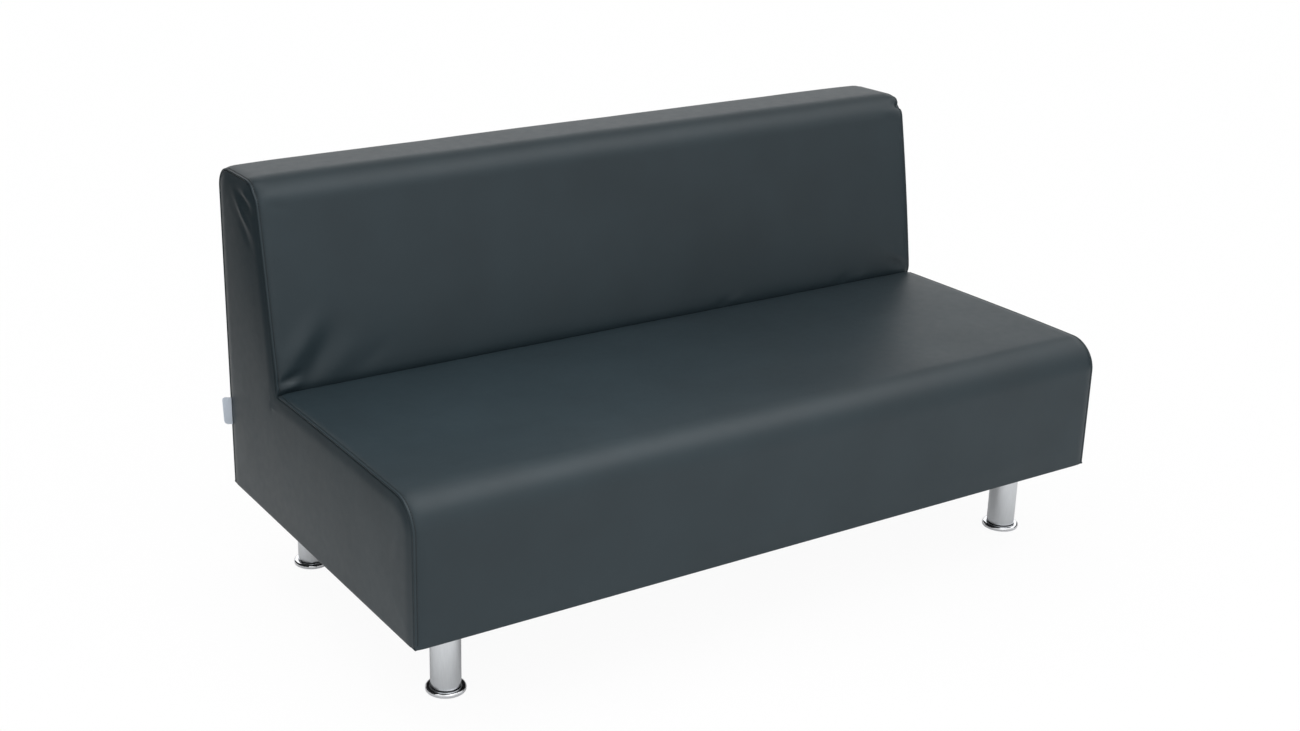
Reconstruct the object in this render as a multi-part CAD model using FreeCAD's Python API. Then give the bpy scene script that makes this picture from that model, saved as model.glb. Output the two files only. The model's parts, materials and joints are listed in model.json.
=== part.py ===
import FreeCAD, Part
import math
import os

# Sofa module: an L-shaped upholstered body on four round metal legs with levelling feet.
# Millimetres. X runs along the sofa, the front faces -Y, Z is up, and the floor is Z = 0.
# The origin is on the floor under the middle of the body.

# Overall form
length = 1400
depth = 718
height = 736
leg_height = 140
seat_height = 380
back_base_depth = 224
back_top_depth = 163

# Curves of the upholstered body
seat_edge_radius = 55
back_front_radius = 50
back_rear_radius = 42
end_edge_radius = 6
end_edge_bevel = 3
seat_crown = 4
back_crown = 4

# Cover and padding
cover_thickness = 1.5
cover_clearance = 0.3
hem_width = 28
tuck_depth = 60
seat_foam_thickness = 86
back_foam_thickness = 60
front_foam_thickness = 25
top_foam_thickness = 40
rear_foam_thickness = 10
side_foam_thickness = 10
dust_cover_thickness = 1
dust_cover_inset = 12
dust_cover_slit = 14

# Sewn-in bare fabric tab
tab_height = 44
tab_reach = 14
tab_thickness = 1
tab_tilt = 30
tab_centre_height = 281
tab_clearance = 0.5

# Wooden frame
board = 18
back_panel_thickness = 3
leg_board_thickness = 23.5
leg_board_width = 150
rear_rail_height = 120
seat_rail_gap = 35
top_rail_height = 90
block_size = 45
block_room = 44.7
window_margin = 24
window_pitch = 120
window_gap = 50
window_corner = 18
dowel_radius = 4
dowel_length = 50
dowel_sides = 8

# Elastic webbing
strap_width = 50
strap_thickness = 1.5
cross_strap_count = 13
long_strap_count = 3
back_strap_count = 4
strap_margin = 45

# Legs and their fixings
leg_side_inset = 102
leg_front_inset = 95
leg_rear_inset = 110
tube_radius = 25
tube_wall = 2
leg_top_thickness = 5
bolt_radius = 5
bolt_head_width = 16
bolt_head_height = 6.5
bolt_end = 6
nut_width = 22
nut_thickness = 8
insert_length = 30
insert_sides = 12

# Levelling feet
stud_radius = 5
stud_length = 46
foot_gap = 0.5
disc_radius = 33
disc_thickness = 8
disc_edge_bevel = 2.5
glide_radius = 20
glide_thickness = 2
glide_sides = 36
glide_gap = 0.1

# Running and assembly clearances
press_clearance = 0.05
thread_clearance = 0.05
hole_clearance = 0.3

# Heights and places that follow
underside = leg_height + dust_cover_thickness
front_y = -depth / 2
rear_y = depth / 2
crease_y = rear_y - back_base_depth
back_top_y = rear_y - back_top_depth
foam_inset = cover_thickness + cover_clearance
foam_end = length / 2 - foam_inset
board_end = foam_end - side_foam_thickness
rail_end = board_end - board
board_bottom = underside + cover_thickness
board_front = front_y + foam_inset + front_foam_thickness
board_rear = rear_y - foam_inset - rear_foam_thickness
frame_rear = board_rear - back_panel_thickness
foam_bottom = seat_height - foam_inset - seat_foam_thickness
cheek_top = foam_bottom - strap_thickness
rail_top = cheek_top - strap_thickness
seat_rail_bottom = underside + leg_board_thickness + seat_rail_gap
board_top = height - foam_inset - top_foam_thickness
back_board_offset = back_foam_thickness + strap_thickness
seam_x = length / 2 - end_edge_radius * (1 - math.cos(math.radians(45)))
foot_top = glide_thickness + glide_gap + disc_thickness
far = 2 * (length + depth + height)

os.makedirs("parts", exist_ok=True)


def vector(x, y, z):
    return FreeCAD.Vector(x, y, z)


def save(shape, node):
    shape.exportStep("parts/" + node + ".step")


def box(x0, x1, y0, y1, z0, z1):
    return Part.makeBox(x1 - x0, y1 - y0, z1 - z0, vector(x0, y0, z0))


def prism(profile, x0, x1):
    """A solid whose profile, a list of (y, z) corners, is the same all along X."""
    corners = [vector(x0, y, z) for y, z in profile]
    face = Part.Face(Part.makePolygon(corners + corners[:1]))
    return face.extrude(vector(x1 - x0, 0, 0))


def cylinder(radius, low, high, x=0, y=0):
    return Part.makeCylinder(radius, high - low, vector(x, y, low))


def mirrored(shape):
    """The same piece at the other end of the sofa."""
    return shape.mirror(vector(0, 0, 0), vector(1, 0, 0))


def lean(z, offset=0):
    """The Y of a line that leans back as the backrest does, offset square to it, into the back."""
    slope = (back_top_y - crease_y) / (height - seat_height)
    return crease_y + slope * (z - seat_height) + offset * math.sqrt(1 + slope**2)


def even_places(count, low, high):
    """The middles of equal stretches from low to high."""
    step = (high - low) / count
    return [low + step * (i + 0.5) for i in range(count)]


def crowned_edge(start, end, crown):
    """An edge from start to end that swells out to its left by the crown."""
    along = end - start
    out = vector(1, 0, 0).cross(along).normalize()
    middle = (start + end) * 0.5 + out * crown
    return Part.Arc(start, middle, end).toShape()


def rounded_outline():
    """The outline of the upholstered body seen along X, with its rounded edges, as a face."""
    front_foot = vector(0, front_y, underside)
    front_top = vector(0, front_y, seat_height)
    crease = vector(0, crease_y, seat_height)
    back_top = vector(0, back_top_y, height)
    rear_top = vector(0, rear_y, height)
    rear_foot = vector(0, rear_y, underside)
    edges = [
        Part.makeLine(front_foot, front_top),
        crowned_edge(front_top, crease, seat_crown),
        crowned_edge(crease, back_top, back_crown),
        Part.makeLine(back_top, rear_top),
        Part.makeLine(rear_top, rear_foot),
        Part.makeLine(rear_foot, front_foot),
    ]
    solid = Part.Face(Part.Wire(edges)).extrude(vector(length, 0, 0))
    radii = [
        (front_top, seat_edge_radius),
        (back_top, back_front_radius),
        (rear_top, back_rear_radius),
    ]
    for corner, radius in radii:
        middle = corner + vector(length / 2, 0, 0)
        edge = min(solid.Edges, key=lambda e: (e.CenterOfMass - middle).Length)
        solid = solid.makeFillet(radius, [edge])
    return min(solid.Faces, key=lambda f: f.CenterOfMass.x)


outline = rounded_outline()


def padded_form(inset):
    """The upholstered body drawn in by an inset on every side, and the edges of its two ends."""
    face = outline.makeOffset2D(-inset) if inset else outline.copy()
    face.translate(vector(inset - length / 2, 0, 0))
    solid = face.extrude(vector(length - 2 * inset, 0, 0))
    reach = length / 2 - inset
    rims = [e for e in solid.Edges if abs(abs(e.CenterOfMass.x) - reach) < 0.001]
    return solid, rims


def upholstery():
    """The outside of the cover, with its ends rounded over."""
    solid, rims = padded_form(0)
    return solid.makeFillet(end_edge_radius, rims)


def filling(inset):
    """What the cover is drawn over, with its ends bevelled to stay inside the rounded cover."""
    solid, rims = padded_form(inset)
    return solid.makeChamfer(end_edge_bevel, rims)


def back_region(offset=0):
    """All that lies behind the crease between seat and backrest, for cutting the two apart."""
    crease = lean(seat_height, offset)
    corners = [
        (lean(0, offset), 0),
        (crease, seat_height),
        (crease - depth, seat_height + depth),
        (2 * depth, seat_height + depth),
        (2 * depth, 0),
    ]
    return prism(corners, -far, far)


def tuck(near, away):
    """A strip of cover that goes down between the seat and back foam, beside the lean line."""
    low = seat_height - tuck_depth
    high = seat_height - cover_thickness / 2
    corners = [
        (lean(low, near), low),
        (lean(high, near), high),
        (lean(high, away), high),
        (lean(low, away), low),
    ]
    reach = length / 2 - end_edge_radius
    return prism(corners, -reach, reach)


def cover_pieces():
    """Two side panels and two bands of cover, sewn at the ends and along the crease."""
    skin = upholstery().cut(filling(cover_thickness))
    hole_x = length / 2 - hem_width
    hole_y = depth / 2 - hem_width
    skin = skin.cut(box(-hole_x, hole_x, -hole_y, hole_y, underside - 1, board_bottom + 1))
    end = box(seam_x, length, -depth, depth, 0, 2 * height)
    side_hem = box(hole_x, seam_x, -hole_y, hole_y, 0, underside + end_edge_radius)
    side = end.fuse(side_hem)
    right = skin.common(side)
    band = skin.cut(side).cut(mirrored(side))
    seat = band.cut(back_region()).fuse(tuck(-cover_thickness, 0))
    back = band.common(back_region()).fuse(tuck(0, cover_thickness))
    return {
        "side_cover_left": mirrored(right),
        "side_cover_right": right,
        "seat_cover": seat.removeSplitter(),
        "back_cover": back.removeSplitter(),
    }


def side_tab():
    """The bare woven tab that is caught in the rear seam of the left side."""
    low = tab_centre_height - tab_height / 2
    near = -tab_clearance
    half = tab_thickness / 2
    tab = box(near - tab_reach, near, -half, half, low, low + tab_height)
    tab.rotate(vector(0, 0, 0), vector(0, 0, 1), -tab_tilt)
    tab.translate(vector(-seam_x, rear_y - (length / 2 - seam_x), 0))
    return tab


def dust_cover():
    """Thin black cloth under the frame, with a square hole cut for each leg bolt."""
    half_x = length / 2 - dust_cover_inset
    half_y = depth / 2 - dust_cover_inset
    sheet = box(-half_x, half_x, -half_y, half_y, leg_height, underside)
    return sheet.cut(at_each_leg(regular_prism(4, dust_cover_slit, 0, height)))


def foam_pieces():
    """Seat block, front, back, top, rear and side foam, cut from one padded form."""
    form = filling(foam_inset)
    seat_gap = -cover_thickness - cover_clearance
    above = box(-far, far, -far, far, foam_bottom, far)
    below = box(-far, far, -far, far, board_bottom, foam_bottom)
    seat = form.common(above).cut(back_region(seat_gap))
    back_front = back_region(foam_inset)
    behind_pad = prism(
        [
            (lean(0, back_foam_thickness), 0),
            (lean(2 * height, back_foam_thickness), 2 * height),
            (2 * depth, 2 * height),
            (2 * depth, 0),
        ],
        -far,
        far,
    )
    back = form.common(above).common(back_front).cut(behind_pad)
    cap = form.common(behind_pad).common(box(-far, far, -far, far, board_top, far))
    front = form.common(below).common(box(-far, far, -far, board_front, 0, far))
    rear = form.common(box(-far, far, board_rear, far, board_bottom, board_top))
    end = box(board_end, far, board_front, board_rear, board_bottom, board_top)
    side = form.common(end)
    side_seat = side.common(below)
    side_back = side.common(above).common(behind_pad)
    return {
        "seat_foam": seat,
        "front_foam": front,
        "back_foam": back,
        "top_foam": cap,
        "rear_foam": rear,
        "side_foam_seat_left": mirrored(side_seat),
        "side_foam_seat_right": side_seat,
        "side_foam_back_left": mirrored(side_back),
        "side_foam_back_right": side_back,
    }


def window(sides, x0, x1):
    """A prism to cut a window with: four (y, z) corners in order, each cut off at a slant."""
    corners = [vector(0, y, z) for y, z in sides]
    shortest = min((corner - corners[i - 1]).Length for i, corner in enumerate(corners))
    slant = min(window_corner, shortest / 3)
    profile = []
    for i, corner in enumerate(corners):
        for other in (corners[i - 1], corners[(i + 1) % 4]):
            point = corner + (other - corner).normalize() * slant
            profile.append((point.y, point.z))
    return prism(profile, x0, x1)


def cheek():
    """The L-shaped end board on the right, with windows that make it lighter."""
    corners = [
        (board_front, board_bottom),
        (board_front, cheek_top),
        (lean(cheek_top, back_board_offset), cheek_top),
        (lean(board_top, back_board_offset), board_top),
        (frame_rear, board_top),
        (frame_rear, board_bottom),
    ]
    panel = prism(corners, rail_end, board_end)
    low = underside + leg_board_thickness + window_margin
    high = cheek_top - window_margin
    start = board_front + board
    end = frame_rear - board
    count = max(1, round((end - start) / window_pitch))
    reach = ((end - start) / count - window_gap) / 2
    for y in even_places(count, start, end):
        sides = [(y - reach, low), (y + reach, low), (y + reach, high), (y - reach, high)]
        panel = panel.cut(window(sides, rail_end, board_end))
    top = board_top - board
    front = back_board_offset + window_margin
    rear = frame_rear - window_margin
    count = max(1, round((top - cheek_top) / window_pitch))
    reach = ((top - cheek_top) / count - window_gap) / 2
    for z in even_places(count, cheek_top, top):
        low = z - reach
        high = z + reach
        sides = [(lean(low, front), low), (rear, low), (rear, high), (lean(high, front), high)]
        panel = panel.cut(window(sides, rail_end, board_end))
    return panel


def frame_pieces():
    """The boards of the frame between and behind the two end boards."""
    seat_rail_rear = lean(rail_top, back_foam_thickness)
    rib_rise = back_board_offset + board
    top_rail_top = board_top - board
    top_rail_bottom = top_rail_top - top_rail_height
    pieces = {}
    pieces["front_rail"] = box(
        -rail_end, rail_end, board_front, board_front + board, board_bottom, rail_top
    )
    pieces["seat_rear_rail"] = box(
        -rail_end, rail_end, seat_rail_rear - board, seat_rail_rear, seat_rail_bottom, rail_top
    )
    pieces["rear_rail"] = box(
        -rail_end,
        rail_end,
        frame_rear - board,
        frame_rear,
        board_bottom,
        board_bottom + rear_rail_height,
    )
    pieces["top_rail"] = prism(
        [
            (lean(top_rail_bottom, back_board_offset), top_rail_bottom),
            (lean(top_rail_top, back_board_offset), top_rail_top),
            (lean(top_rail_top, rib_rise), top_rail_top),
            (lean(top_rail_bottom, rib_rise), top_rail_bottom),
        ],
        -rail_end,
        rail_end,
    )
    pieces["top_board"] = prism(
        [
            (lean(top_rail_top, back_board_offset), top_rail_top),
            (lean(board_top, back_board_offset), board_top),
            (frame_rear, board_top),
            (frame_rear, top_rail_top),
        ],
        -rail_end,
        rail_end,
    )
    pieces["back_panel"] = box(
        -board_end, board_end, frame_rear, board_rear, board_bottom, board_top
    )
    rib = prism(
        [
            (board_front + board, board_bottom),
            (board_front + board, seat_rail_bottom),
            (seat_rail_rear, seat_rail_bottom),
            (lean(rail_top, rib_rise), rail_top),
            (lean(top_rail_top, rib_rise), top_rail_top),
            (frame_rear, top_rail_top),
            (frame_rear, board_bottom),
        ],
        -board / 2,
        board / 2,
    )
    pieces["centre_rib"] = rib.cut(pieces["rear_rail"])
    leg_board = box(
        rail_end - leg_board_width,
        rail_end,
        board_front + board,
        frame_rear - board,
        underside,
        underside + leg_board_thickness,
    )
    leg_board = leg_board.cut(bolt_holes())
    pieces["leg_board_right"] = leg_board
    pieces["leg_board_left"] = mirrored(leg_board)
    pieces["corner_blocks"] = corner_blocks()
    return pieces


def corner_blocks():
    """Three-cornered glue blocks on the leg boards inside the corners, with room over them."""
    low = underside + leg_board_thickness
    blocks = []
    for y, inward in ((board_front + board, 1), (frame_rear - board, -1)):
        corners = [
            vector(rail_end, y, low),
            vector(rail_end - block_size, y, low),
            vector(rail_end, y + inward * block_size, low),
        ]
        face = Part.Face(Part.makePolygon(corners + corners[:1]))
        block = face.extrude(vector(0, 0, rail_top - block_room - low))
        blocks += [block, mirrored(block)]
    return Part.Compound(blocks)


def seat_webbing():
    """Straps from front to rear over the rails, and straps from end to end over them."""
    rear = lean(rail_top, back_foam_thickness)
    cross = []
    for x in even_places(cross_strap_count, strap_margin - rail_end, rail_end - strap_margin):
        x0 = x - strap_width / 2
        cross.append(box(x0, x0 + strap_width, board_front, rear, rail_top, cheek_top))
    along = []
    for y in even_places(long_strap_count, board_front + board, rear - board):
        y0 = y - strap_width / 2
        along.append(box(-board_end, board_end, y0, y0 + strap_width, cheek_top, foam_bottom))
    return Part.Compound(cross), Part.Compound(along)


def back_webbing():
    """Straps from end to end over the leaning front edges of the end boards."""
    straps = []
    for z in even_places(back_strap_count, foam_bottom, board_top):
        low = z - strap_width / 2
        high = z + strap_width / 2
        corners = [
            (lean(low, back_foam_thickness), low),
            (lean(high, back_foam_thickness), high),
            (lean(high, back_board_offset), high),
            (lean(low, back_board_offset), low),
        ]
        straps.append(prism(corners, -board_end, board_end))
    return Part.Compound(straps)


def frame_dowels(clearance=0):
    """Fluted dowels, drawn with flat sides, through the end boards into the ends of the rails."""
    low = underside + leg_board_thickness
    top_rail_z = board_top - board - top_rail_height / 2
    places = [(lean(top_rail_z, back_board_offset + board / 2), top_rail_z)]
    places.append(((lean(board_top, back_board_offset) + frame_rear) / 2, board_top - board / 2))
    for z in even_places(2, low, rail_top):
        places.append((board_front + board / 2, z))
    for z in even_places(2, low, board_bottom + rear_rail_height):
        places.append((frame_rear - board / 2, z))
    for z in even_places(2, seat_rail_bottom, rail_top):
        places.append((lean(rail_top, back_foam_thickness) - board / 2, z))
    radius = dowel_radius + clearance
    turns = [2 * math.pi * (i + 0.5) / dowel_sides for i in range(dowel_sides)]
    dowels = []
    for y, z in places:
        rim = [(y + radius * math.cos(t), z + radius * math.sin(t)) for t in turns]
        dowel = prism(rim, board_end - dowel_length - clearance, board_end)
        dowels += [dowel, mirrored(dowel)]
    return Part.Compound(dowels)


def leg_places():
    """The four leg axes by the name of their corner."""
    x = length / 2 - leg_side_inset
    front = front_y + leg_front_inset
    rear = rear_y - leg_rear_inset
    return {
        "front_left": (-x, front),
        "front_right": (x, front),
        "rear_left": (-x, rear),
        "rear_right": (x, rear),
    }


def at_each_leg(piece):
    """Copies of a piece that is made on the Z axis, one on each leg's axis."""
    copies = []
    for x, y in leg_places().values():
        copy = piece.copy()
        copy.translate(vector(x, y, 0))
        copies.append(copy)
    return Part.Compound(copies)


def bolt_holes():
    """The holes for the leg bolts through the leg boards."""
    return at_each_leg(cylinder(bolt_radius + hole_clearance, 0, height))


def regular_prism(sides, width, low, high):
    """An upright prism on the Z axis with equal sides, as wide as given across its flats."""
    radius = width / 2 / math.cos(math.pi / sides)
    turns = [2 * math.pi * (i + 0.5) / sides for i in range(sides)]
    corners = [vector(radius * math.cos(t), radius * math.sin(t), low) for t in turns]
    face = Part.Face(Part.makePolygon(corners + corners[:1]))
    return face.extrude(vector(0, 0, high - low))


def leg_tube():
    """The round tube, open at both ends, that carries the body."""
    outer = cylinder(tube_radius, foot_top + foot_gap, leg_height)
    return outer.cut(cylinder(tube_radius - tube_wall, 0, height))


def leg_top():
    """The thick disc inside the tube's upper end that the leg bolt pulls on."""
    radius = tube_radius - tube_wall - press_clearance
    disc = cylinder(radius, leg_height - leg_top_thickness, leg_height)
    return disc.cut(cylinder(bolt_radius + hole_clearance, 0, height))


def leg_bolt():
    """The hexagon bolt that goes up through the leg's top into the nut on the leg board."""
    shoulder = leg_height - leg_top_thickness
    head = regular_prism(6, bolt_head_width, shoulder - bolt_head_height, shoulder)
    end = underside + leg_board_thickness + nut_thickness + bolt_end
    return head.fuse(cylinder(bolt_radius, shoulder, end))


def leg_nut():
    """The square nut on top of the leg board."""
    low = underside + leg_board_thickness
    nut = regular_prism(4, nut_width, low, low + nut_thickness)
    return nut.cut(cylinder(bolt_radius + thread_clearance, 0, height))


def leg_insert():
    """The plug in the lower end of the tube, which its corners grip, for the foot's stud."""
    low = foot_top + foot_gap
    corner_radius = tube_radius - tube_wall - press_clearance
    width = 2 * corner_radius * math.cos(math.pi / insert_sides)
    plug = regular_prism(insert_sides, width, low, low + insert_length)
    return plug.cut(cylinder(stud_radius + thread_clearance, 0, height))


def foot_disc():
    """The chromed disc, bevelled round its upper rim, where the real one is rounded."""
    disc = cylinder(disc_radius, foot_top - disc_thickness, foot_top)
    rim = max(disc.Edges, key=lambda e: e.CenterOfMass.z)
    return disc.makeChamfer(disc_edge_bevel, [rim])


def foot_stud():
    """The threaded stud that stands on the disc, shown at its thread's outer size."""
    return cylinder(stud_radius, foot_top, foot_top + stud_length)


def foot_glide():
    """The pad, drawn with flat sides, that stands still while the disc turns over it."""
    return regular_prism(glide_sides, 2 * glide_radius, 0, glide_thickness)


pieces = cover_pieces()
pieces["side_tab"] = side_tab()
pieces["dust_cover"] = dust_cover()
pieces.update(foam_pieces())

right_cheek = cheek()
frame = frame_pieces()
frame["cheek_right"] = right_cheek
frame["cheek_left"] = mirrored(right_cheek)
dowel_holes = frame_dowels(press_clearance)
dowelled = ["front_rail", "rear_rail", "seat_rear_rail", "top_rail", "top_board"]
for node in dowelled + ["cheek_left", "cheek_right"]:
    frame[node] = frame[node].cut(dowel_holes)
pieces.update(frame)
pieces["frame_dowels"] = frame_dowels()

pieces["seat_straps_cross"], pieces["seat_straps_long"] = seat_webbing()
pieces["back_straps"] = back_webbing()

pieces["leg_tops"] = at_each_leg(leg_top())
pieces["leg_bolts"] = at_each_leg(leg_bolt())
pieces["leg_nuts"] = at_each_leg(leg_nut())
pieces["leg_inserts"] = at_each_leg(leg_insert())
foot = {
    "leg_tube": leg_tube(),
    "foot_stud": foot_stud(),
    "foot_disc": foot_disc(),
    "foot_glide": foot_glide(),
}
for name, shape in foot.items():
    for corner, piece in zip(leg_places(), at_each_leg(shape).Solids):
        pieces[name + "_" + corner] = piece

for node, piece in pieces.items():
    save(piece, node)
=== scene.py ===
import json
import math

import bpy
import numpy as np
from mathutils import Euler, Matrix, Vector
from mathutils.bvhtree import BVHTree
from mathutils.geometry import delaunay_2d_cdt


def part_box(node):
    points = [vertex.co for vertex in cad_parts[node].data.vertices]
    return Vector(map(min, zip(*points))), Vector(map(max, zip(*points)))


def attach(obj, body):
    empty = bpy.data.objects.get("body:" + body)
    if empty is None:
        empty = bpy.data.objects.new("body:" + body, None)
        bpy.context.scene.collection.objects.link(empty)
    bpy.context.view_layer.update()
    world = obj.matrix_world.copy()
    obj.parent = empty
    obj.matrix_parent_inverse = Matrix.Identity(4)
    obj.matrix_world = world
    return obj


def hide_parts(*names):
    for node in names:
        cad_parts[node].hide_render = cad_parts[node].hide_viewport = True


bl_info = {
    "name": "Sofa module",
    "version": (1, 0, 0),
    "blender": (4, 5, 0),
    "location": "3D View > Sidebar > Sofa",
    "description": "Dresses the packed sofa module in sewn leatherette, foam, webbing and metal",
    "category": "Object",
}

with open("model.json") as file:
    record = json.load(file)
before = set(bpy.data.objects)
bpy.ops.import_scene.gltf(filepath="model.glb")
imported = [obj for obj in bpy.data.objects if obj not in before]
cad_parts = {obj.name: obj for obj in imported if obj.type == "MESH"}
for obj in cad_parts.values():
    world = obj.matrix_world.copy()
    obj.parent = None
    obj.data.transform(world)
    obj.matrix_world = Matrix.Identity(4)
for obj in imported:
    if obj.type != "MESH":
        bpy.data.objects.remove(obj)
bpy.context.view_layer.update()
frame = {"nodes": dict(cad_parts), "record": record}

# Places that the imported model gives, in metres
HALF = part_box("side_cover_right")[1].x
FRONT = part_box("seat_cover")[0].y
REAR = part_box("back_cover")[1].y
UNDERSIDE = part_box("seat_cover")[0].z
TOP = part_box("back_cover")[1].z
SOFA = "sofa"
CORNERS = ("front_left", "front_right", "rear_left", "rear_right")


def length_property(name, description, default):
    """A size in metres that the sidebar shows."""
    return bpy.props.FloatProperty(
        name=name, description=description, default=default, min=0, unit="LENGTH", precision=4
    )


def colour_property(name, description, default):
    """A colour that the sidebar shows."""
    return bpy.props.FloatVectorProperty(
        name=name, description=description, default=default, subtype="COLOR", min=0, max=1
    )


class SofaShape(bpy.types.PropertyGroup):
    """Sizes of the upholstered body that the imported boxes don't give."""

    seat_crown: length_property("Seat crown", "How far the seat swells up", 0.004)
    back_crown: length_property("Back crown", "How far the backrest swells out", 0.004)
    back_base: length_property("Back base", "Depth of the backrest at the seat", 0.224)
    back_top: length_property("Back top", "Depth of the backrest at its top", 0.163)
    seat_edge: length_property("Seat edge", "Radius of the seat's front edge", 0.055)
    back_front: length_property("Back front edge", "Radius of the top's front edge", 0.050)
    back_rear: length_property("Back rear edge", "Radius of the top's rear edge", 0.042)
    hem: length_property("Hem", "Width of cover turned in under the frame", 0.028)
    tuck: length_property("Tuck", "Depth of cover tucked down in the crease", 0.045)
    leather: length_property("Cover thickness", "Thickness of the leatherette", 0.0009)
    swell: length_property("Swell", "How far the panels swell between seams", 0.0018)
    corner_pull: length_property("Corner pull", "How far a sharp corner pulls on its runs", 0.09)
    foam_room: length_property("Foam room", "Room from the cover's outside to the foam", 0.003)
    seam_reach: length_property("Seam reach", "How far a seam's curled edge goes in", 0.008)
    seat_rise: length_property("Seat rise", "How far the seat rises towards the crease", 0.0055)
    mesh_step: length_property("Mesh step", "Distance between points of the covers", 0.010)
    fine_step: length_property("Fine step", "Distance between points near seams and crease", 0.0036)
    fine_reach: length_property("Fine reach", "How far the fine points go", 0.16)


class SofaSewing(bpy.types.PropertyGroup):
    """Sizes of the stitching and the sewn-in tab."""

    offset: length_property("Stitch offset", "Distance of the stitches from the end", 0.0072)
    sink: length_property("Stitch sink", "Depth of the stitches under the surface", 0.0028)
    pitch: length_property("Stitch pitch", "Distance from stitch to stitch", 0.0048)
    stitch: length_property("Stitch length", "Length of a stitch that shows", 0.0033)
    thread: length_property("Thread", "Radius of the thread", 0.00065)
    tab_reach: length_property("Tab reach", "How far the tab stands out of its seam", 0.0172)
    tab_width: length_property("Tab width", "Length of the tab along its seam", 0.0505)


class SofaColours(bpy.types.PropertyGroup):
    """Colours of the finishes."""

    leather: colour_property("Leatherette", "Dark blue-grey leatherette", (0.016, 0.027, 0.0332))
    thread: colour_property("Thread", "Sewing thread", (0.006, 0.009, 0.011))
    tab: colour_property("Tab", "Bare woven tab", (0.58, 0.64, 0.72))
    foam: colour_property("Foam", "Upholstery foam", (0.78, 0.7, 0.42))
    plywood: colour_property("Plywood", "Birch plywood", (0.56, 0.38, 0.2))
    hardboard: colour_property("Hardboard", "Brown hardboard", (0.14, 0.075, 0.035))
    beech: colour_property("Beech", "Beech blocks and dowels", (0.55, 0.32, 0.17))
    webbing: colour_property("Webbing", "Elastic webbing", (0.03, 0.03, 0.035))
    dust_cloth: colour_property("Dust cloth", "Cloth under the frame", (0.012, 0.012, 0.013))
    metal: colour_property("Tube", "Satin metal of the legs", (0.62, 0.64, 0.66))
    chrome: colour_property("Disc", "Chromed discs of the feet", (0.72, 0.73, 0.75))
    zinc: colour_property("Zinc", "Bolts, nuts and studs", (0.42, 0.43, 0.44))
    plastic: colour_property("Plastic", "Glides and inserts", (0.01, 0.01, 0.011))


def shape():
    """The sizes of the upholstered body, as the sidebar holds them."""
    return bpy.context.scene.sofa_shape


def sewing():
    """The sizes of the stitching and the tab, as the sidebar holds them."""
    return bpy.context.scene.sofa_sewing


def colours():
    """The colours, as the sidebar holds them."""
    return bpy.context.scene.sofa_colours


def only(piece):
    """Leaves this piece alone selected and active."""
    bpy.ops.object.select_all(action="DESELECT")
    piece.select_set(True)
    bpy.context.view_layer.objects.active = piece


def modified(piece, kind, **settings):
    """Adds a modifier with these settings to the piece and applies it."""
    only(piece)
    modifier = piece.modifiers.new(kind.title(), kind)
    for key, value in settings.items():
        setattr(modifier, key, value)
    bpy.ops.object.modifier_apply(modifier=modifier.name)
    return piece


def from_points(name, points, faces):
    """A new mesh piece from points and faces in the object's own frame."""
    mesh = bpy.data.meshes.new(name)
    spots = [tuple(map(float, p)) for p in points]
    mesh.from_pydata(spots, [], [tuple(map(int, f)) for f in faces])
    mesh.validate()
    piece = bpy.data.objects.new(name, mesh)
    bpy.context.scene.collection.objects.link(piece)
    return piece


def smooth(piece, angle=180):
    """Shades the piece smooth up to the angle between its faces, in degrees."""
    only(piece)
    if angle >= 180:
        bpy.ops.object.shade_smooth()
    else:
        bpy.ops.object.shade_smooth_by_angle(angle=math.radians(angle))
    return piece


def outward(piece, merge=True):
    """Merges doubled points, unless told not to, and turns every face outwards."""
    only(piece)
    bpy.ops.object.mode_set(mode="EDIT")
    bpy.ops.mesh.select_all(action="SELECT")
    if merge:
        bpy.ops.mesh.remove_doubles(threshold=1e-6)
    bpy.ops.mesh.normals_make_consistent(inside=False)
    bpy.ops.object.mode_set(mode="OBJECT")
    return piece


def placed(piece):
    """Puts the piece's place into its mesh, so that its object sits at the origin."""
    only(piece)
    bpy.ops.object.transform_apply(location=True, rotation=True, scale=True)
    return piece


def finished(piece, material, slot, body, *nodes):
    """Gives the piece its material and body, and hides the nodes that it stands for; the slot is
    not used.
    """
    piece.data.materials.clear()
    piece.data.materials.append(material)
    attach(piece, body)
    if nodes:
        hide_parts(*nodes)
    return piece


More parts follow.
